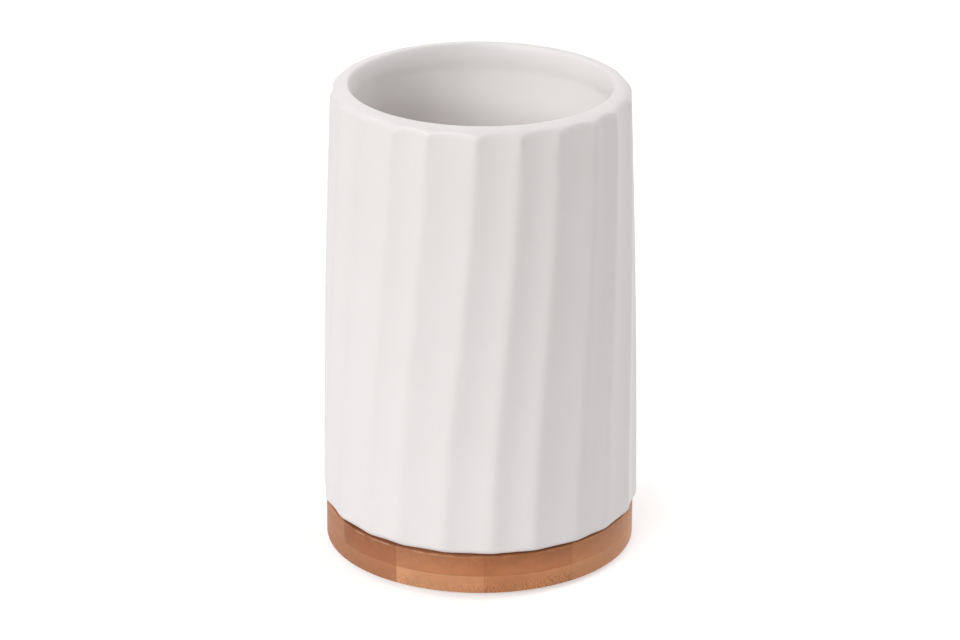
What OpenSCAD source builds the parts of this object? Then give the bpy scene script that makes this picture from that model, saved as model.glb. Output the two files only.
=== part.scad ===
// Bathroom tumbler: a fluted, glazed ceramic cup bonded to a round base of laminated bamboo.
// The origin is on the axis, in the plane that the base pads rest on. +Z points up to the mouth,
// and -Y points to the side that is taken as the front.

/* [Cup] */
// Height of the ceramic cup, foot to crest of the lip
cup_h = 102.8; // [90:0.1:130]
// Diameter over the ridges at the foot
cup_foot_d = 75.2; // [71:0.1:80]
// Diameter over the ridges at the lip
cup_top_d = 69.7; // [64:0.1:80]
// How far the side bows out past a straight taper at mid height
side_bow = 0.3; // [0:0.05:1.5]
// Radius of the rounding at the outer edge of the foot
foot_round = 1.4; // [0.8:0.1:2.5]
// Thickness of the floor
floor_t = 5.0; // [4:0.1:9]
// Thickness of the wall at the foot, from the ridges in
wall_foot_t = 4.7; // [3.8:0.1:7]
// Thickness of the wall under the lip, from the ridges in
wall_top_t = 4.4; // [3.6:0.1:4.6]
// Radius of the rounding between floor and wall inside
floor_round = 6.0; // [2:0.1:12]

/* [Lip] */
// Width of the outer rounding of the lip, which cuts the flutes off
lip_round_w = 4.05; // [3:0.05:4.1]
// Height of that rounding
lip_round_h = 3.0; // [2:0.1:4]
// How far that rounding would stand proud of the ridges if they did not cut it off below
lip_proud = 0.15; // [0:0.05:0.3]
// Thickness of the lip at the narrowest place of the mouth, from the ridges in
lip_t = 4.75; // [4.65:0.05:5.5]
// Width of the flat crest
crest_flat_w = 0.2; // [0.1:0.1:0.4]
// Depth of the narrowest place below the crest
bead_h = 3.7; // [2:0.1:6]
// Height over which the bead under the crest runs out into the wall
bead_runout_h = 3.3; // [1:0.1:6]

/* [Flutes] */
// Number of flutes round the cup
flute_count = 22; // [16:1:26]
// Depth of a flute below the ridges
flute_depth = 0.67; // [0.3:0.01:1.1]
// Radius that the glaze leaves on each ridge
ridge_round = 4.7; // [1:0.1:6]
// Turn of the flutes from foot to lip, in degrees
flute_twist = 10.2; // [0:0.1:20]
// Direction of the first ridge at the foot, in degrees from the front
flute_phase = 4.0; // [0:0.1:16]

/* [Underside] */
// Width of the flat land of the foot ring
foot_land_w = 6.4; // [4:0.1:8]
// Depth of the recess inside the foot ring
recess_depth = 1.8; // [1:0.1:2.4]
// Chamfer round the recess
recess_chamfer = 1.0; // [0.4:0.1:1.6]

/* [Bond] */
// Thickness of the silicone bead between base and cup
bond_t = 0.4; // [0.3:0.1:1.5]
// How far the bead stays inside the outer edge of the foot's land, under the flutes
bond_outer_set_in = 2.0; // [0.5:0.1:2.6]
// How far the bead stays outside the recess
bond_inner_set_in = 0.7; // [0.2:0.1:1.4]

/* [Bamboo base] */
// How far the side of the base stands inside the ridges of the foot
base_set_in = 0.9; // [0:0.1:1.5]
// Thickness of the lower ply
lower_ply_t = 4.4; // [3:0.1:7]
// Thickness of the upper ply
upper_ply_t = 4.95; // [3:0.05:7]
// Width of one bamboo strip
strip_w = 20.5; // [16:0.1:22]
// Width of the narrow strip at the left edge of the upper ply
edge_strip_w = 4.7; // [2:0.1:10]
// Place of the seam nearest the middle
middle_seam_x = 1.1; // [0:0.1:3]
// Radius of the rounding at the top edge
base_top_round = 0.5; // [0.3:0.1:1.5]
// Width of the easing at the bottom edge
base_bottom_ease = 0.3; // [0.1:0.1:1]

/* [Pads] */
// Diameter of a non-slip pad
pad_d = 10.0; // [6:0.5:14]
// Thickness of a pad
pad_t = 1.2; // [0.8:0.1:3]
// How far the edge of a pad stays inside the edge of the base
pad_set_in = 4.7; // [2:0.1:12]
// Rounding at the lower edge of a pad
pad_round = 0.3; // [0.1:0.1:0.6]

/* [Hidden] */
UPPER_STRIPS = 5;
LOWER_STRIPS = 4;
PADS = 3;

// Heights of the stack
lower_z = pad_t;
upper_z = lower_z + lower_ply_t;
base_top_z = upper_z + upper_ply_t;
foot_z = base_top_z + bond_t;

// Radii that the profile uses
foot_r = cup_foot_d / 2;
top_r = cup_top_d / 2;
mouth_r = top_r - lip_t;
inside_foot_r = foot_r - wall_foot_t;
inside_top_r = top_r - wall_top_t;
recess_r = foot_r - foot_round - foot_land_w;
bond_outer_r = foot_r - foot_round - flute_depth - bond_outer_set_in;
bond_inner_r = recess_r + bond_inner_set_in;
base_r = foot_r - base_set_in;
pad_circle_r = base_r - pad_set_in - pad_d / 2;

// One overrun for every cut
over = 2;
// Share by which the twist slows down at foot and lip
twist_ease_share = 0.4;
// Places of the points between a ridge (0) and the middle of a flute (1)
section_shares = [0, 0.12, 0.35, 0.65, 1];
// Steps round a ring, and up each stretch of the side
section_steps = 2 * (len(section_shares) - 1);
ring_points = flute_count * section_steps;
foot_steps = 4;
side_steps = 14;
lip_steps = 9;
arc_steps = 6;
round_fn = 96;

// Height above the foot where the lip's rounding starts, and the radius where it meets the crest
lip_start_h = cup_h - lip_round_h;
crest_r = ridge_r(lip_start_h) + lip_proud - lip_round_w;

// Softness of a ridge: the share of half a flute that gives it the radius ridge_round
half_flute_w = PI * foot_r / flute_count;
ridge_soft_share = 2 * flute_depth * ridge_round / pow(half_flute_w, 2);

function smooth(s) = s * s * (3 - 2 * s);

// Radius over the ridges at a height above the foot
function ridge_r(h) = let (t = h / cup_h) foot_r + (top_r - foot_r) * t + 4 * side_bow * t * (1 - t);

// How far the foot's rounding draws the side in at a height
function foot_drawn_in(h) = h >= foot_round ? 0 : foot_round - sqrt(max(0, pow(foot_round, 2) - pow(foot_round - h, 2)));

// Radius of the lip's rounding at a height, as if there were no flutes
function lip_r(h) = crest_r + lip_round_w * sqrt(max(0, 1 - pow((h - lip_start_h) / lip_round_h, 2)));

// Outer radius at a height for a share of the way into a flute: the fluted side, cut off by the lip's rounding
function outer_r(h, share) = let (side = ridge_r(h) - foot_drawn_in(h) - flute_depth * share)
    h > lip_start_h ? min(side, lip_r(h)) : side;

// Hollow of a flute, 0 on the ridge and 1 in the middle, with the ridge softened
function hollow(u) = let (
        far = sqrt(1 + pow(ridge_soft_share, 2)) - ridge_soft_share,
        near = (sqrt(u * u + pow(ridge_soft_share, 2)) - ridge_soft_share) / far
    ) 1 - pow(1 - near, 2);

// Turn of the flutes at a height, slower near foot and lip
function turn_at(h) = let (t = h / cup_h) flute_twist * (t - twist_ease_share * sin(360 * t) / (2 * PI));

// Place of point j of a flute: its share of the pitch, and its share of the way into the hollow
function into_hollow(j) = j < len(section_shares) ? section_shares[j] : section_shares[section_steps - j];
function along_pitch(j) = j < len(section_shares) ? section_shares[j] / 2 : 1 - section_shares[section_steps - j] / 2;

// One closed ring of the fluted side, counter-clockwise from above
function ring(h) = [
    for (k = [0 : flute_count - 1], j = [0 : section_steps - 1])
        let (
            a = flute_phase + turn_at(h) + 360 * (k + along_pitch(j)) / flute_count - 90,
            r = outer_r(h, hollow(into_hollow(j)))
        ) [r * cos(a), r * sin(a), h]
];

// Heights of the rings: the foot's rounding, the side, and the lip's rounding
side_heights = concat(
    [for (i = [0 : foot_steps]) foot_round * (1 - cos(90 * i / foot_steps))],
    [for (i = [1 : side_steps]) foot_round + (lip_start_h - foot_round) * i / side_steps],
    [for (i = [1 : lip_steps]) lip_start_h + lip_round_h * sin(90 * i / lip_steps)]
);

// Triangles between ring i and the ring above it
function band(i) = [
    for (p = [0 : ring_points - 1])
        let (
            a = i * ring_points + p,
            b = i * ring_points + (p + 1) % ring_points,
            c = a + ring_points,
            d = b + ring_points
        ) each [[a, c, d], [a, d, b]]
];

// Solid cup blank with the fluted side, the rounded foot and the outer half of the lip
module fluted_blank() {
    last = len(side_heights) - 1;
    points = [for (h = side_heights) each ring(h)];
    bottom_cap = [for (p = [0 : ring_points - 1]) p];
    top_cap = [for (p = [0 : ring_points - 1]) last * ring_points + ring_points - 1 - p];
    sides = [for (i = [0 : last - 1]) each band(i)];
    polyhedron(points = points, faces = concat([bottom_cap], sides, [top_cap]));
}

// Points of an arc in the profile plane, from angle a0 to angle a1
function arc(cx, cy, r, a0, a1) = [
    for (i = [0 : arc_steps]) let (a = a0 + (a1 - a0) * i / arc_steps) [cx + r * cos(a), cy + r * sin(a)]
];

// The hollow of the cup, from above the mouth down to the floor
module cavity() {
    mouth_edge_r = crest_r - crest_flat_w;
    lip_curve = [
        for (i = [0 : arc_steps])
            let (a = 90 - 90 * i / arc_steps)
                [mouth_r + (mouth_edge_r - mouth_r) * (1 - cos(a)), cup_h - bead_h * (1 - sin(a))]
    ];
    bead_runout = [
        for (i = [1 : arc_steps])
            let (s = i / arc_steps)
                [mouth_r + (inside_top_r - mouth_r) * smooth(s), cup_h - bead_h - bead_runout_h * s]
    ];
    floor_arc = arc(inside_foot_r - floor_round, floor_t + floor_round, floor_round, 0, -90);
    rotate_extrude($fn = round_fn)
        polygon(concat(
            [[0, cup_h + over], [mouth_edge_r, cup_h + over]],
            lip_curve,
            bead_runout,
            floor_arc,
            [[0, floor_t]]
        ));
}

// Shallow recess under the floor, which leaves the foot ring
module underside_recess() {
    slope = recess_chamfer / recess_depth;
    rotate_extrude($fn = round_fn)
        polygon([
            [0, -over],
            [recess_r + over * slope, -over],
            [recess_r - recess_chamfer, recess_depth],
            [0, recess_depth]
        ]);
}

// Glazed ceramic cup
module cup_body() {
    color([0.93, 0.925, 0.915])
        translate([0, 0, foot_z])
            difference() {
                fluted_blank();
                cavity();
                underside_recess();
            }
}

// Bead of clear silicone that bonds the foot ring to the base
module bond_ring() {
    color([0.80, 0.78, 0.74])
        translate([0, 0, base_top_z])
            difference() {
                cylinder(h = bond_t, r = bond_outer_r, $fn = round_fn);
                translate([0, 0, -over])
                    cylinder(h = bond_t + 2 * over, r = bond_inner_r, $fn = round_fn);
            }
}

// Outline of the turned base, from the axis out, as one half section
module base_section() {
    polygon(concat(
        [[0, lower_z], [base_r - base_bottom_ease, lower_z], [base_r, lower_z + base_bottom_ease]],
        arc(base_r - base_top_round, base_top_z - base_top_round, base_top_round, 0, 90),
        [[0, base_top_z]]
    ));
}

// The part of the turned base between two seams and two heights
module base_strip(from_x, to_x, from_z, to_z) {
    intersection() {
        rotate_extrude($fn = round_fn) base_section();
        translate([from_x, -base_r - over, from_z])
            cube([to_x - from_x, 2 * (base_r + over), to_z - from_z]);
    }
}

// Seams of each ply from left to right, with the outer ones past the edge of the base
first_seam_x = middle_seam_x - strip_w;
right_seams = [first_seam_x, middle_seam_x, middle_seam_x + strip_w, base_r + over];
lower_seams = concat([-base_r - over], right_seams);
upper_seams = concat([-base_r - over, -base_r + edge_strip_w], right_seams);

// Strip i of the upper ply
module upper_strip(i) {
    color(i % 2 == 0 ? [0.64, 0.43, 0.31] : [0.70, 0.48, 0.35])
        base_strip(upper_seams[i - 1], upper_seams[i], upper_z, base_top_z + over);
}

// Strip i of the lower ply
module lower_strip(i) {
    color(i % 2 == 0 ? [0.77, 0.56, 0.41] : [0.66, 0.45, 0.32])
        base_strip(lower_seams[i - 1], lower_seams[i], lower_z - over, upper_z);
}

// Non-slip pad number i, stuck under the base
module pad(i) {
    color([0.85, 0.85, 0.84])
        rotate([0, 0, 360 * (i - 1) / PADS - 90])
            translate([pad_circle_r, 0, 0])
                rotate_extrude($fn = round_fn)
                    polygon([
                        [0, 0],
                        [pad_d / 2 - pad_round, 0],
                        [pad_d / 2, pad_round],
                        [pad_d / 2, pad_t],
                        [0, pad_t]
                    ]);
}

cup_body();
bond_ring();
for (i = [1 : UPPER_STRIPS])
    upper_strip(i);
for (i = [1 : LOWER_STRIPS])
    lower_strip(i);
for (i = [1 : PADS])
    pad(i);
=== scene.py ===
import math

import bmesh
import bpy
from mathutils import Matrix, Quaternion, Vector


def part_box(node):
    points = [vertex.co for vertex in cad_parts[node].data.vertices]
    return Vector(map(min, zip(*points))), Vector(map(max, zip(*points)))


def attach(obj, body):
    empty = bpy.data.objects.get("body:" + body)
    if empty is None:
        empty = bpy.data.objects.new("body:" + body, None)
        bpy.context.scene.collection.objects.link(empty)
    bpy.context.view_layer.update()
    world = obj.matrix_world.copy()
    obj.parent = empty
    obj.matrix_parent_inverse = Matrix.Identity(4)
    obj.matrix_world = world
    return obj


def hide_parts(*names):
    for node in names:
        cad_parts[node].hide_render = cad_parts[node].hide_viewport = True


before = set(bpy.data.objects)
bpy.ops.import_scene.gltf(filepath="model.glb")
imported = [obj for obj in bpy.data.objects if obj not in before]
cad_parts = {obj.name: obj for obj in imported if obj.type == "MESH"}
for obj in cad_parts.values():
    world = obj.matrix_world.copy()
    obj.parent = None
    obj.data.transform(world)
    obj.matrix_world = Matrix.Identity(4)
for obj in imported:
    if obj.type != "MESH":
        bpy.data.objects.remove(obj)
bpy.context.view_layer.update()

# Ceramic cup
# One slip-cast earthenware shell under a satin warm-white glaze. Concave flutes were cut into the master by
# hand: they climb with a slight turn and run out under a plain rounded lip. The foot is bonded to the base.
MM = 0.001
cup_low, cup_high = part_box("cup_body")
foot_z = cup_low.z
cup_height = cup_high.z - foot_z

# The side, measured over the ridges, and its flutes, with so many points round each flute.
foot_radius = 37.6 * MM
lip_radius = 34.85 * MM
side_bow = 0.3 * MM
flute_count = 22
flute_points = 16
ring_points = flute_count * flute_points
pitch = 2 * math.pi / flute_count
flute_depth = 0.67 * MM
ridge_round = 4.7 * MM
ridge_soft = 2 * flute_depth * ridge_round / (foot_radius * pitch / 2) ** 2
flute_phase = math.radians(4.0)
flute_turn = math.radians(10.2)
turn_ease = 0.4


def smooth(share):
    """From 0 to 1 with a gentle start and end, held at both ends."""
    share = max(0.0, min(1.0, share))
    return share * share * (3 - 2 * share)


def side_radius(height):
    """Radius over the ridges at a height above the foot, before the roundings."""
    t = height / cup_height
    return foot_radius + (lip_radius - foot_radius) * t + 4 * side_bow * t * (1 - t)


def side_turn(height):
    """Direction of the first ridge at a height above the foot: it turns slowly near foot and lip."""
    t = height / cup_height
    return flute_phase + flute_turn * (t - turn_ease * math.sin(2 * math.pi * t) / (2 * math.pi))


def hollow(across):
    """Depth across half a flute, 0 on the softened ridge and 1 in the middle."""
    far = math.hypot(1, ridge_soft) - ridge_soft
    near = (math.hypot(across, ridge_soft) - ridge_soft) / far
    return 1 - (1 - near) ** 2


def open_piece(name):
    """Names the new primitive, puts its place into its mesh and opens it in edit mode."""
    piece = bpy.context.object
    piece.name = piece.data.name = name
    bpy.ops.object.transform_apply(location=True, rotation=False, scale=False)
    bpy.ops.object.mode_set(mode="EDIT")


# The cup is drawn ring by ring. A ring keeps its height, radius and turn, and its shape, which gives the
# radius of a point by its depth in the flute, from 0 on the ridge to 1 in the hollow.
def start_ring(name, points, radius, z):
    """A circle of loose edges round the axis, left selected in edit mode."""
    bpy.ops.object.select_all(action="DESELECT")
    bpy.ops.mesh.primitive_circle_add(vertices=points, radius=radius, location=(0, 0, z))
    open_piece(name)
    return {"z": z, "radius": radius, "turn": 0.0, "shape": lambda depth: radius}


def turn_ring(ring, turn):
    """Turns the selected ring, counter-clockwise from above. With no window, rotate turns the other way."""
    bpy.ops.transform.rotate(value=ring["turn"] - turn, orient_axis="Z", center_override=(0, 0, ring["z"]))
    ring["turn"] = turn


def next_ring(ring, z, radius, turn=None):
    """Extrudes the selected ring to a new height, radius and turn."""
    bpy.ops.mesh.extrude_region_move(TRANSFORM_OT_translate={"value": (0, 0, z - ring["z"])})
    grow = radius / ring["radius"]
    bpy.ops.transform.resize(value=(grow, grow, 1), center_override=(0, 0, z))
    ring.update(z=z, radius=radius)
    if turn is not None:
        turn_ring(ring, turn)


def shape_ring(ring, shape):
    """Moves the points of the selected ring in or out to a new shape, all points of one depth together."""
    mesh = bmesh.from_edit_mesh(bpy.context.object.data)
    places = {}
    for vert in (v for v in mesh.verts if v.select):
        angle = math.atan2(vert.co.y, vert.co.x) - math.radians(90) - ring["turn"]
        step = round(angle * ring_points / (2 * math.pi)) % flute_points
        places.setdefault(min(step, flute_points - step), []).append(vert)
    for step, verts in places.items():
        depth = hollow(2 * step / flute_points)
        grow = shape(depth) / ring["shape"](depth)
        bpy.ops.mesh.select_all(action="DESELECT")
        for vert in verts:
            vert.select_set(True)
        bpy.ops.transform.resize(value=(grow, grow, 1), center_override=(0, 0, ring["z"]))
    for vert in (v for verts in places.values() for v in verts):
        vert.select_set(True)
    mesh.select_flush(True)
    ring["shape"] = shape


def close_ring(ring):
    """Draws the selected ring in to one point on the axis."""
    next_ring(ring, ring["z"], ring["radius"] / 4)
    bpy.ops.mesh.extrude_region_move(TRANSFORM_OT_translate={"value": (0, 0, 0)})
    bpy.ops.mesh.merge(type="CENTER")


weld_distance = MM / 1000


def finish_mesh():
    """Welds the seams, turns the faces outward and leaves edit mode."""
    bpy.ops.mesh.select_all(action="SELECT")
    bpy.ops.mesh.remove_doubles(threshold=weld_distance)
    bpy.ops.mesh.normals_make_consistent(inside=False)
    bpy.ops.object.mode_set(mode="OBJECT")
    return bpy.context.object


# The side rises from the foot's rounding. Near their tops the flutes widen and deepen, and then the lip's
# rounding cuts them off.
foot_round = 2.0 * MM
top_widening = 0.45
top_deepening = 0.4
widening_drop = 5 * MM
lip_drop = 2.8 * MM
lip_width = 4.05 * MM
lip_proud = 0.25 * MM
lip_soft = 0.22 * MM
lip_start = cup_height - lip_drop
widening_start = lip_start - widening_drop
crest_radius = side_radius(lip_start) + lip_proud - lip_width
side_rings = 42
widening_rings = 5
lip_rings = 18
arc_rings = 9


def fluted(height):
    """Shape of the side at a height above the foot."""
    near_top = smooth((height - lip_start) / widening_drop + 1)
    widen = 1 - top_widening * near_top
    deepest = flute_depth * (1 + top_deepening * near_top)
    return lambda depth: side_radius(height) - deepest * depth ** widen


def lipped(height):
    """Shape where the lip's rounding cuts the flutes off, with a soft edge between the two."""
    up = height - lip_start
    lip = crest_radius + lip_width * math.sqrt(max(0, 1 - (up / lip_drop) ** 2))
    soft = lip_soft * smooth(up / MM)
    side = fluted(height)
    return lambda depth: (side(depth) + lip) / 2 - math.hypot((side(depth) - lip) / 2, soft)


ring = start_ring("cup", ring_points, side_radius(foot_round), foot_z + foot_round)
turn_ring(ring, side_turn(foot_round))
shape_ring(ring, fluted(foot_round))
first_ring = [vert.index for vert in bmesh.from_edit_mesh(bpy.context.object.data).verts]
for i in range(1, side_rings + 1):
    height = foot_round + (widening_start - foot_round) * i / side_rings
    next_ring(ring, foot_z + height, side_radius(height), side_turn(height))
ring["shape"] = fluted(widening_start)
for i in range(1, widening_rings + 1):
    height = widening_start + widening_drop * i / widening_rings
    next_ring(ring, foot_z + height, ring["radius"], side_turn(height))
    shape_ring(ring, fluted(height))
for i in range(1, lip_rings + 1):
    height = lip_start + lip_drop * math.sin(math.radians(90) * i / lip_rings)
    next_ring(ring, foot_z + height, ring["radius"], side_turn(height))
    shape_ring(ring, lipped(height))

# Inside, where all is round, the lip falls in to the narrowest place of the mouth, a soft bead that runs out
# into the wall. The wall widens towards a flat floor with a rounded edge.
crest_flat = 0.2 * MM
mouth_radius = 30.1 * MM
bead_drop = 3.7 * MM
bead_runout = 3.3 * MM
wall_top_radius = 30.45 * MM
wall_foot_radius = 32.9 * MM
floor_thickness = 5.0 * MM
floor_round = 6.0 * MM
wall_rings = 14
inner_width = crest_radius - crest_flat - mouth_radius
wall_start = cup_height - bead_drop - bead_runout
wall_end = floor_thickness + floor_round
ring["radius"] = crest_radius
for i in range(arc_rings + 1):
    angle = math.radians(90) * (1 - i / arc_rings)
    height = cup_height - bead_drop * (1 - math.sin(angle))
    next_ring(ring, foot_z + height, mouth_radius + inner_width * (1 - math.cos(angle)))
for i in range(1, arc_rings + 1):
    share = i / arc_rings
    height = cup_height - bead_drop - bead_runout * share
    next_ring(ring, foot_z + height, mouth_radius + (wall_top_radius - mouth_radius) * smooth(share))
for i in range(1, wall_rings + 1):
    share = i / wall_rings
    height = wall_start + (wall_end - wall_start) * share
    next_ring(ring, foot_z + height, wall_top_radius + (wall_foot_radius - wall_top_radius) * share)
for i in range(1, arc_rings + 1):
    angle = math.radians(90) * i / arc_rings
    height = wall_end - floor_round * math.sin(angle)
    next_ring(ring, foot_z + height, wall_foot_radius - floor_round * (1 - math.cos(angle)))
close_ring(ring)

# The first ring is taken up again and drawn down: the foot's rounding, where the flutes fade, the flat land
# that is bonded to the base, and the shallow recess inside it.
foot_fade = 0.65
land_inner_radius = 29.8 * MM
recess_depth = 1.8 * MM
recess_chamfer = 1.0 * MM


def footed(height, inset, fade):
    """Shape on the foot's rounding, drawn in by an inset."""
    return lambda depth: side_radius(height) - inset - flute_depth * (1 - fade) * depth


bpy.ops.mesh.select_all(action="DESELECT")
cup_mesh = bmesh.from_edit_mesh(bpy.context.object.data)
cup_mesh.verts.ensure_lookup_table()
for index in first_ring:
    cup_mesh.verts[index].select_set(True)
cup_mesh.select_flush(True)
ring = {"z": foot_z + foot_round, "radius": side_radius(foot_round), "turn": side_turn(foot_round),
        "shape": fluted(foot_round)}
for i in range(1, arc_rings + 1):
    angle = math.radians(90) * i / arc_rings
    height = foot_round * (1 - math.sin(angle))
    next_ring(ring, foot_z + height, ring["radius"])
    shape_ring(ring, footed(height, foot_round * (1 - math.cos(angle)), foot_fade * i / arc_rings))
edge_shape = ring["shape"]
edge_radius = edge_shape(0)
ring["radius"] = edge_radius
next_ring(ring, foot_z, land_inner_radius)
ring["shape"] = lambda depth: edge_shape(depth) * land_inner_radius / edge_radius
shape_ring(ring, lambda depth: land_inner_radius)
next_ring(ring, foot_z + recess_depth, land_inner_radius - recess_chamfer)
close_ring(ring)
cup = finish_mesh()

# The ridges wander a little to either side, as they do on a hand-cut master: degrees from the even pitch at
# the foot and at the lip, by ridge from three left of the front one to three right of it, and less elsewhere.
wander_foot = {-3: 0.6, -2: -1.4, -1: -0.6, 0: 0.0, 1: -0.6, 2: 1.0, 3: -1.0}
wander_lip = {-3: 0.3, -2: -1.5, -1: 0.7, 0: 0.7, 1: -0.2, 2: 0.9, 3: -1.6}
wander_most_elsewhere = 0.6
wander_change = 2.3


def wander(ridge, t):
    """How far a ridge is off its even place, at a share of the cup's height."""
    ridge = (ridge + flute_count // 2) % flute_count - flute_count // 2
    elsewhere = wander_most_elsewhere * math.sin(wander_change * ridge)
    at_foot = wander_foot.get(ridge, elsewhere)
    at_lip = wander_lip.get(ridge, elsewhere)
    return math.radians(at_foot * (1 - t) + at_lip * t)


# The kiln has let the rim down a little towards +X, and the foot's edge was sponged a little off centre. The
# glaze is thinner on the ridges, so the clay shows a little there. The colour is also painted darker up the
# flutes and whiter on the lip and towards the foot: painted shade and painted light.
rim_lean = 0.0045
lean_start = 60 * MM
foot_shift = 0.3 * MM
outside_margin = 0.2 * MM
outside_from = wall_foot_radius + outside_margin
# The lip keeps little of the clay colour: painted light on the lip.
painted_light_lip = 0.1
thin_ridge = 0.2
glaze_thin_and_painted_shade = cup.data.attributes.new("glaze_thin_and_painted_shade", "FLOAT", "POINT")
for vert in cup.data.vertices:
    radius = math.hypot(vert.co.x, vert.co.y)
    height = vert.co.z - foot_z
    glaze_thin_and_painted_shade.data[vert.index].value = painted_light_lip * (1 - smooth((cup_height - height) / bead_drop))
    leaning = smooth((height - lean_start) / (lip_start - lean_start))
    vert.co.z -= rim_lean * (vert.co.x + crest_radius) * leaning
    if radius < (outside_from if height < lip_start else crest_radius):
        continue
    t = height / cup_height
    azimuth = math.atan2(vert.co.x, -vert.co.y)
    from_first = (azimuth - side_turn(height)) / pitch
    left = math.floor(from_first)
    left_wander, right_wander = wander(left, t), wander(left + 1, t)
    azimuth += left_wander + (right_wander - left_wander) * smooth(from_first - left)
    vert.co.x = radius * math.sin(azimuth) + foot_shift * (1 - smooth(height / foot_round))
    vert.co.y = -radius * math.cos(azimuth)
    across = abs(from_first - round(from_first)) * 2
    # Painted shade: the share grows with the height up the flutes. The ridge term is the glaze's real
    # thinning.
    thin_and_painted_shade = t + thin_ridge * (1 - hollow(across)) ** 3
    in_flutes = 1 - smooth((height - lip_start) / lip_drop)
    glaze_thin_and_painted_shade.data[vert.index].value = painted_light_lip + (thin_and_painted_shade - painted_light_lip) * in_flutes
cup.data.shade_smooth()


# The node helpers add to the tree that nodes and links stand for, which each material sets when it starts.
def feed(socket, value):
    """Gives a socket a constant or a link."""
    if isinstance(value, bpy.types.NodeSocket):
        links.new(value, socket)
    else:
        socket.default_value = value


def on_piece():
    """The place on the piece, in object coordinates."""
    return nodes.new("ShaderNodeTexCoord").outputs["Object"]


def noise(vector, scale, detail):
    """Smooth noise, from 0 to 1 and mostly near a half."""
    node = nodes.new("ShaderNodeTexNoise")
    for socket, value in (("Vector", vector), ("Scale", scale), ("Detail", detail)):
        feed(node.inputs[socket], value)
    return node.outputs["Fac"]


def maths(operation, a, b=0.0):
    """One sum of two values."""
    node = nodes.new("ShaderNodeMath")
    node.operation = operation
    feed(node.inputs[0], a)
    feed(node.inputs[1], b)
    return node.outputs[0]


def vector_maths(operation, a, b=(0, 0, 0)):
    """One sum of two vectors, given as its node, because a length leaves it by another socket."""
    node = nodes.new("ShaderNodeVectorMath")
    node.operation = operation
    feed(node.inputs[0], a)
    feed(node.inputs[1], b)
    return node


def mapped(value, low, high, to_low=0.0, to_high=1.0, kind="SMOOTHSTEP"):
    """A value brought from one range to another and held at its ends."""
    node = nodes.new("ShaderNodeMapRange")
    node.interpolation_type = kind
    feed(node.inputs["Value"], value)
    for socket, end in (("From Min", low), ("From Max", high), ("To Min", to_low), ("To Max", to_high)):
        feed(node.inputs[socket], end)
    return node.outputs["Result"]


def mixed(factor, a, b, kind="MIX"):
    """Two colours mixed or blended."""
    node = nodes.new("ShaderNodeMix")
    node.data_type = "RGBA"
    node.blend_type = kind
    for socket, value in (("Factor", factor), ("A", a), ("B", b)):
        feed(node.inputs[socket], value)
    return node.outputs["Result"]


def bumped(height, strength, distance):
    """Gives the shader a normal that follows a height."""
    node = nodes.new("ShaderNodeBump")
    for socket, value in (("Height", height), ("Strength", strength), ("Distance", distance)):
        feed(node.inputs[socket], value)
    links.new(node.outputs["Normal"], shader.inputs["Normal"])


def start_material(name):
    """A new material, with its nodes, links and shader."""
    material = bpy.data.materials.new(name)
    material.use_nodes = True
    tree = material.node_tree
    return material, tree.nodes, tree.links, tree.nodes["Principled BSDF"]


def start_group(name, inputs, outputs):
    """A new node group, with its nodes and links and its two ends. Each socket has a name and a kind."""
    tree = bpy.data.node_groups.new(name, "ShaderNodeTree")
    for side, sockets in (("INPUT", inputs), ("OUTPUT", outputs)):
        for socket, kind in sockets.items():
            tree.interface.new_socket(name=socket, in_out=side, socket_type="NodeSocket" + kind)
    return tree, tree.nodes, tree.links, tree.nodes.new("NodeGroupInput"), tree.nodes.new("NodeGroupOutput")


def placed(group, values):
    """A node group in this material, with values of its own."""
    node = nodes.new("ShaderNodeGroup")
    node.node_tree = group
    for socket, value in values.items():
        feed(node.inputs[socket], value)
    return node.outputs


# Mottling, the slight unevenness of glaze, silicone and rubber: two colours by clouds of a size.
mottling, nodes, links, given, result = start_group(
    "mottling",
    {"Scale": "Float", "Detail": "Float", "Low": "Float", "High": "Float", "Dark": "Color", "Light": "Color"},
    {"Color": "Color", "Clouds": "Float"})
clouds = noise(on_piece(), given.outputs["Scale"], given.outputs["Detail"])
lightness = mapped(clouds, given.outputs["Low"], given.outputs["High"], kind="LINEAR")
feed(result.inputs["Color"], mixed(lightness, given.outputs["Dark"], given.outputs["Light"]))
feed(result.inputs["Clouds"], clouds)

glaze_dark = (0.880, 0.846, 0.838, 1)
glaze_light = (0.903, 0.868, 0.861, 1)
clay_and_painted_shade_color = (0.66, 0.64, 0.62, 1)
clay_and_painted_shade_most = 0.33
glaze, nodes, links, shader = start_material("white_glaze")
mottle = placed(mottling, {"Scale": 55, "Detail": 3, "Low": 0.3, "High": 0.7,
                           "Dark": glaze_dark, "Light": glaze_light})
thin_and_painted_shade = nodes.new("ShaderNodeAttribute")
thin_and_painted_shade.attribute_name = "glaze_thin_and_painted_shade"
# The clay colour shows through the thin glaze on the ridges, and is painted shade up the flutes.
clay_and_painted_shade_share = maths("MULTIPLY", thin_and_painted_shade.outputs["Fac"], clay_and_painted_shade_most)
feed(shader.inputs["Base Color"], mixed(clay_and_painted_shade_share, mottle["Color"], clay_and_painted_shade_color))
feed(shader.inputs["Roughness"], mapped(mottle["Clouds"], 0, 1, 0.40, 0.50, kind="LINEAR"))
feed(shader.inputs["IOR"], 1.5)
bumped(noise(on_piece(), scale=420, detail=2), strength=0.25, distance=0.04 * MM)
cup.data.materials.append(glaze)
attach(cup, "root")
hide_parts("cup_body")

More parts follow.
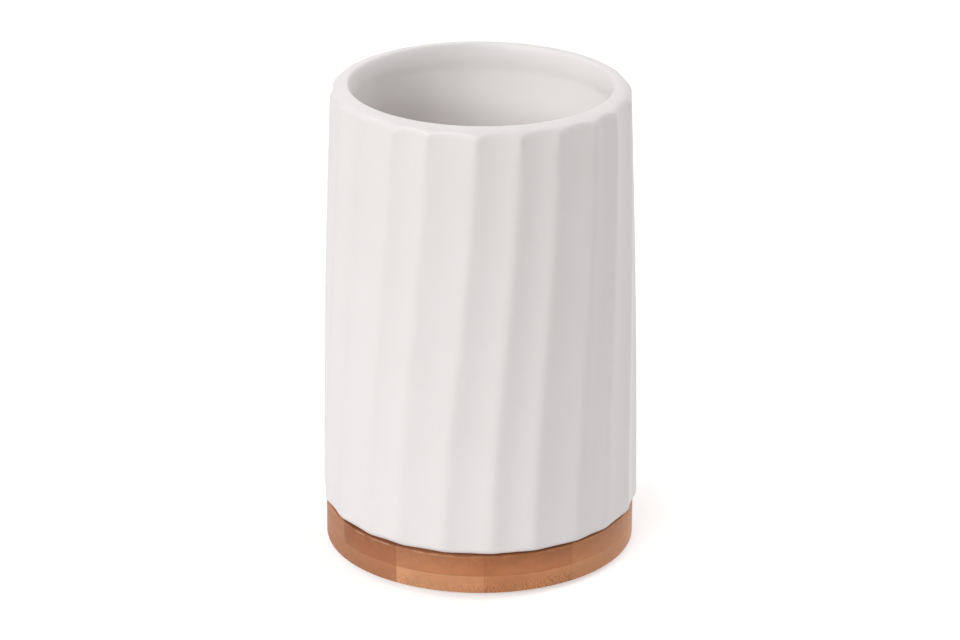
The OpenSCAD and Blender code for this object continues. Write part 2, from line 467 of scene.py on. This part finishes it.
# Silicone bead
# A bead of clear neutral-cure silicone, squeezed flat between the foot ring and the bamboo, whose brown shows
# through it. It is set back from the edge, and is coloured dark as painted shade for the line between cup and
# base.
bead_low, bead_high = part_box("bond_ring")
bead_bulge = 0.15 * MM
bead_width = 2.6 * MM
bead_outer = bead_high.x - bead_bulge
bead_points = 192
bulge_rings = 6
ring = start_ring("silicone_bead", bead_points, bead_outer - bead_width, bead_low.z)
next_ring(ring, bead_low.z, bead_outer)
for i in range(1, bulge_rings + 1):
    share = i / bulge_rings
    z = bead_low.z + (bead_high.z - bead_low.z) * share
    next_ring(ring, z, bead_outer + bead_bulge * math.sin(math.pi * share))
next_ring(ring, bead_high.z, bead_outer - bead_width)
next_ring(ring, bead_low.z, bead_outer - bead_width)
silicone_bead = finish_mesh()
silicone_bead.data.shade_smooth()

# Painted shade: dark colours for the shadowed gap between cup and base.
silicone_painted_shade_dark = (0.20, 0.14, 0.10, 1)
silicone_painted_shade_light = (0.28, 0.21, 0.16, 1)
silicone, nodes, links, shader = start_material("clear_silicone")
mottle = placed(mottling, {"Scale": 260, "Detail": 2, "Low": 0, "High": 1,
                           "Dark": silicone_painted_shade_dark, "Light": silicone_painted_shade_light})
feed(shader.inputs["Base Color"], mottle["Color"])
feed(shader.inputs["Roughness"], 0.3)
silicone_bead.data.materials.append(silicone)
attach(silicone_bead, "root")
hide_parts("bond_ring")

# Bamboo base
# Carbonised bamboo strips, pressed flat into two plies with the fibres running front to back, then turned
# round, sanded and given a thin satin lacquer. The front shows end grain, the sides show long fibres.
upper_low, upper_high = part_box("upper_strip_3")
base_radius = 36.7 * MM
base_points = 256
edge_rounds = {"upper": 0.5 * MM, "lower": 0.3 * MM}

grain_inputs = {
    "Left": "Color", "Right": "Color", "Fleck": "Float", "Shift": "Vector", "Left seam": "Float",
    "Right seam": "Float", "Glue height": "Float", "Skin height": "Float", "Fade": "Float",
    "Arris height": "Float", "Arris radius": "Float",
}
grain_outputs = {"Color": "Color", "Roughness": "Float", "Height": "Float"}
grain, nodes, links, given, result = start_group("bamboo grain", grain_inputs, grain_outputs)
place = on_piece()
shifted = vector_maths("ADD", place, given.outputs["Shift"]).outputs[0]


def fibres(scale, detail):
    """Noise drawn out along the fibres by a scale for each axis, and shifted from strip to strip."""
    return noise(vector_maths("MULTIPLY", shifted, scale).outputs[0], 1, detail)


def toned(color, level):
    """The colour times a grey level."""
    grey = nodes.new("ShaderNodeCombineColor")
    for channel in ("Red", "Green", "Blue"):
        feed(grey.inputs[channel], level)
    return mixed(1.0, color, grey.outputs[0], "MULTIPLY")


def apart(value, other):
    """How far two places lie from each other."""
    return maths("ABSOLUTE", maths("SUBTRACT", value, other))


# The strip's colour runs from its left seam to its right one, and changes towards the skin side by its fade:
# partly the skin's denser fibres, and on the upper ply also painted shade under the cup's overhang. Patches
# and streaks follow the fibres, and the ends of the dense bundles show as dark flecks near the skin.
plain_white = (1, 1, 1, 1)
shade_depth = 4.8 * MM
fleck_depth, fleck_end = 0.8 * MM, 3.8 * MM
streaks = fibres((420, 14, 520), detail=4)
patches = fibres((60, 12, 160), detail=2)
bundles = fibres((2900, 45, 1300), detail=1)
axes = nodes.new("ShaderNodeSeparateXYZ")
feed(axes.inputs[0], place)
from_left = maths("SUBTRACT", axes.outputs["X"], given.outputs["Left seam"])
strip_width = maths("SUBTRACT", given.outputs["Right seam"], given.outputs["Left seam"])
to_skin = apart(axes.outputs["Z"], given.outputs["Skin height"])
color = mixed(maths("DIVIDE", from_left, strip_width), given.outputs["Left"], given.outputs["Right"])
# On the upper ply this darkening is partly painted shade under the cup's overhang.
skin_fade_and_painted_shade = maths("MULTIPLY", mapped(to_skin, 0.0, shade_depth, -1, 1), given.outputs["Fade"])
color = toned(color, maths("ADD", skin_fade_and_painted_shade, 1.0))
color = toned(color, mapped(patches, 0.32, 0.68, to_low=0.91, to_high=1.08))
color = toned(color, mapped(streaks, 0.3, 0.7, to_low=0.96, to_high=1.04))
flecks = toned(plain_white, mapped(bundles, 0.36, 0.64, to_low=0.72, to_high=1.24))
dense = maths("MULTIPLY", mapped(to_skin, fleck_depth, fleck_end, 1, 0), given.outputs["Fleck"])
dense = maths("MULTIPLY", mapped(patches, 0.3, 0.55), dense)
color = mixed(dense, color, flecks, "MULTIPLY")

# Glue shows as a thin broken line at both seams and between the plies.
glue_color = (0.16, 0.065, 0.03, 1)
glue_half_width = 0.03 * MM
glue_soaked_to = 0.15 * MM
glue = 0.0
for axis, socket in (("X", "Left seam"), ("X", "Right seam"), ("Z", "Glue height")):
    line = mapped(apart(axes.outputs[axis], given.outputs[socket]), glue_half_width, glue_soaked_to, 1, 0)
    glue = maths("MAXIMUM", glue, line)
glue = maths("MULTIPLY", glue, mapped(patches, 0.35, 0.65, to_low=0.04, to_high=0.24))
color = mixed(glue, color, glue_color)

# A painted highlight lies along the upper arris in broken places, more of it towards -X. Each pair of places
# is where it starts to end and where it has ended.
painted_highlight_color = (0.80, 0.55, 0.38, 1)
painted_highlight_width = 0.2 * MM, 0.45 * MM
painted_highlight_height = 0.15 * MM, 0.4 * MM
painted_highlight_more_to_less = -12 * MM, 6 * MM
from_axis = vector_maths("LENGTH", vector_maths("MULTIPLY", place, (1, 1, 0)).outputs[0]).outputs["Value"]
from_rim = maths("SUBTRACT", given.outputs["Arris radius"], from_axis)
from_top = apart(axes.outputs["Z"], given.outputs["Arris height"])
painted_highlight = maths("MULTIPLY", mapped(from_rim, *painted_highlight_width, 1, 0), mapped(from_top, *painted_highlight_height, 1, 0))
painted_highlight = maths("MULTIPLY", painted_highlight, mapped(streaks, 0.42, 0.58, 0, 1))
painted_highlight = maths("MULTIPLY", painted_highlight, mapped(axes.outputs["X"], *painted_highlight_more_to_less, 0.3, 0.05))
feed(result.inputs["Color"], mixed(painted_highlight, color, painted_highlight_color))
feed(result.inputs["Roughness"], mapped(streaks, 0.3, 0.7, to_low=0.42, to_high=0.56))
feed(result.inputs["Height"], maths("ADD", maths("MULTIPLY", streaks, 0.6), maths("MULTIPLY", bundles, 0.4)))


def srgb(*levels):
    """A colour given as screen levels, made linear."""
    return tuple(((x / 255 + 0.055) / 1.055) ** 2.4 for x in levels) + (1,)


def start_disc(name, points, radius, thickness, centre):
    """A flat disc, opened in edit mode."""
    bpy.ops.object.select_all(action="DESELECT")
    bpy.ops.mesh.primitive_cylinder_add(vertices=points, radius=radius, depth=thickness, location=centre)
    open_piece(name)


on_rim = MM / 100


def round_rim(z, offset, segments):
    """Bevels the rim of the disc that lies at a height."""
    bpy.ops.mesh.select_all(action="DESELECT")
    mesh = bmesh.from_edit_mesh(bpy.context.object.data)
    for edge in mesh.edges:
        edge.select_set(all(abs(vert.co.z - z) < on_rim for vert in edge.verts))
    mesh.select_flush(False)
    bpy.ops.mesh.bevel(offset=offset, segments=segments)


# Each strip is cut from a disc of its ply at its two seams, where it has a neighbour there. Its colours are
# those at its left and its right side, and the numbers say how strong its flecks and its fade are; on the
# upper ply the fade holds painted shade under the cup.
strip_looks = {
    "upper_strip_1": (srgb(179, 121, 84), srgb(180, 122, 88), 0.2, -0.04),
    "upper_strip_2": (srgb(158, 98, 67), srgb(175, 113, 78), 0.2, 0.08),
    "upper_strip_3": (srgb(185, 125, 88), srgb(179, 113, 74), 0.2, 0.11),
    "upper_strip_4": (srgb(173, 109, 70), srgb(191, 125, 85), 0.2, 0.14),
    "upper_strip_5": (srgb(200, 134, 92), srgb(203, 141, 102), 0.2, 0.1),
    "lower_strip_1": (srgb(176, 118, 81), srgb(188, 127, 90), 0.5, 0.04),
    "lower_strip_2": (srgb(212, 154, 112), srgb(204, 142, 101), 0.4, 0.0),
    "lower_strip_3": (srgb(195, 129, 87), srgb(205, 141, 98), 0.8, 0.04),
    "lower_strip_4": (srgb(214, 150, 108), srgb(216, 152, 109), 0.3, 0.02),
}
sharp_from = math.radians(35)
seam_inside = 0.1 * MM
shift_step = Vector((0.13, 0.37, 0.071))
for number, (name, (left, right, fleck, fade)) in enumerate(strip_looks.items()):
    low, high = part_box(name)
    ply = name.split("_")[0]
    skin_z = high.z if ply == "upper" else low.z
    start_disc("bamboo_" + name, base_points, base_radius, high.z - low.z, (0, 0, (low.z + high.z) / 2))
    round_rim(skin_z, edge_rounds[ply], segments=5)
    for seam_x, cleared in ((low.x, {"clear_inner": True}), (high.x, {"clear_outer": True})):
        if abs(seam_x) < base_radius - seam_inside:
            bpy.ops.mesh.select_all(action="SELECT")
            bpy.ops.mesh.bisect(plane_co=(seam_x, 0, 0), plane_no=(1, 0, 0), use_fill=True, **cleared)
    strip = finish_mesh()
    strip.data.shade_smooth()
    bpy.ops.object.shade_smooth_by_angle(angle=sharp_from)
    bamboo, nodes, links, shader = start_material("bamboo_" + name)
    look = placed(grain, {
        "Left": left, "Right": right, "Fleck": fleck, "Fade": fade,
        "Shift": shift_step * number, "Left seam": low.x, "Right seam": high.x,
        "Glue height": upper_low.z, "Skin height": skin_z,
        "Arris height": upper_high.z, "Arris radius": base_radius,
    })
    feed(shader.inputs["Base Color"], look["Color"])
    feed(shader.inputs["Roughness"], look["Roughness"])
    feed(shader.inputs["Specular IOR Level"], 0.25)
    bumped(look["Height"], strength=0.35, distance=0.06 * MM)
    strip.data.materials.append(bamboo)
    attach(strip, "root")
    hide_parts(name)

# Non-slip pads
# Three soft self-adhesive discs, stuck to the underside of the base. They keep the bamboo off a wet shelf.
pad_radius = 5 * MM
pad_points = 96
pad_edge_round = 0.3 * MM
rubber_dark = (0.60, 0.60, 0.59, 1)
rubber_light = (0.70, 0.70, 0.69, 1)
rubber, nodes, links, shader = start_material("pad_rubber")
mottle = placed(mottling, {"Scale": 1800, "Detail": 2, "Low": 0, "High": 1,
                           "Dark": rubber_dark, "Light": rubber_light})
feed(shader.inputs["Base Color"], mottle["Color"])
feed(shader.inputs["Roughness"], 0.75)
bumped(mottle["Clouds"], strength=0.4, distance=0.05 * MM)
for name in ("pad_1", "pad_2", "pad_3"):
    low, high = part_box(name)
    start_disc("non_slip_" + name, pad_points, pad_radius, high.z - low.z, (low + high) / 2)
    round_rim(low.z, pad_edge_round, segments=4)
    pad = finish_mesh()
    bpy.ops.object.shade_smooth_by_angle(angle=sharp_from)
    pad.data.materials.append(rubber)
    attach(pad, "root")
    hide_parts(name)

# Floor and surroundings
# A plain white studio floor that keeps the soft shadow and can be looked through from below, and a white
# surround that lights nothing.
floor_size = 12
floor_color = (0.75, 0.75, 0.75, 1)
floor_lift = 0.54
bpy.ops.object.select_all(action="DESELECT")
bpy.ops.mesh.primitive_plane_add(size=floor_size, location=(0, 0, 0))
floor = bpy.context.object
floor.name = "floor"


def seen_or_mirrored():
    """1 for the rays that show the surroundings: to the camera, by reflection or through glass."""
    rays = nodes.new("ShaderNodeLightPath")
    seen = maths("MAXIMUM", rays.outputs["Is Camera Ray"], rays.outputs["Is Glossy Ray"])
    return maths("MAXIMUM", seen, rays.outputs["Is Transmission Ray"])


floor_paint, nodes, links, shader = start_material("floor_white")
feed(shader.inputs["Base Color"], floor_color)
feed(shader.inputs["Roughness"], 0.9)
feed(shader.inputs["Specular IOR Level"], 0.0)
glow = nodes.new("ShaderNodeEmission")
feed(glow.inputs["Color"], plain_white)
feed(glow.inputs["Strength"], maths("MULTIPLY", seen_or_mirrored(), floor_lift))
lifted = nodes.new("ShaderNodeAddShader")
feed(lifted.inputs[0], shader.outputs[0])
feed(lifted.inputs[1], glow.outputs[0])
from_below = nodes.new("ShaderNodeMixShader")
feed(from_below.inputs[0], nodes.new("ShaderNodeNewGeometry").outputs["Backfacing"])
feed(from_below.inputs[1], lifted.outputs[0])
feed(from_below.inputs[2], nodes.new("ShaderNodeBsdfTransparent").outputs[0])
feed(nodes["Material Output"].inputs["Surface"], from_below.outputs[0])
floor.data.materials.append(floor_paint)

world = bpy.data.worlds.new("surround")
world.use_nodes = True
bpy.context.scene.world = world
nodes, links = world.node_tree.nodes, world.node_tree.links
nodes.clear()
white = nodes.new("ShaderNodeBackground")
feed(white.inputs["Color"], plain_white)
feed(white.inputs["Strength"], seen_or_mirrored())
feed(nodes.new("ShaderNodeOutputWorld").inputs["Surface"], white.outputs[0])

# Lamps
# Large soft boxes round the object: direction from the front and height in degrees, and power in watts.
lamp_distance = 4
lamp_width = 2.4
lamp_height = 1.6
middle = Vector((0, 0, 55 * MM))
lamps = (
    ("front", -25, 25, 79.0),
    ("key", -50, 28, 38.5),
    ("left", -110, 40, 37.0),
    ("back left", -165, 25, 13.5),
    ("front right", 60, 10, 7.0),
    ("right", 110, 18, 33.0),
    ("high right", 110, 45, 38.0),
    ("back right", 145, 35, 17.0),
    ("overhead", 0, 88, 13.0),
)
for name, azimuth, elevation, power in lamps:
    turn, rise = math.radians(azimuth), math.radians(elevation)
    away = Vector((math.sin(turn) * math.cos(rise), -math.cos(turn) * math.cos(rise), math.sin(rise)))
    lamp_data = bpy.data.lights.new(name, "AREA")
    lamp_data.shape = "RECTANGLE"
    lamp_data.size = lamp_width
    lamp_data.size_y = lamp_height
    lamp_data.energy = power
    lamp = bpy.data.objects.new(name, lamp_data)
    lamp.location = middle + away * lamp_distance
    lamp.rotation_euler = (-away).to_track_quat("-Z", "Y").to_euler()
    bpy.context.scene.collection.objects.link(lamp)

# Camera
# The photograph's view, fitted to the outline: from the front and above, with a long lens and a hair of roll.
camera_distance = 887.1 * MM
pitch_down = math.radians(21.724)
roll = math.radians(0.226)
aim_right = -0.09 * MM
aim_height = 43.95 * MM
target = Vector((aim_right, 0, foot_z + aim_height))
camera_data = bpy.data.cameras.new("camera")
camera_data.sensor_width = 36
camera_data.lens = 141.03
camera = bpy.data.objects.new("camera", camera_data)
back = Vector((0, -math.cos(pitch_down), math.sin(pitch_down)))
camera.location = target + back * camera_distance
camera.rotation_mode = "QUATERNION"
facing = (-back).to_track_quat("-Z", "Y")
facing.rotate(Quaternion(back, roll))
camera.rotation_quaternion = facing
bpy.context.scene.collection.objects.link(camera)
bpy.context.scene.camera = camera
bpy.context.scene.view_settings.view_transform = "Standard"
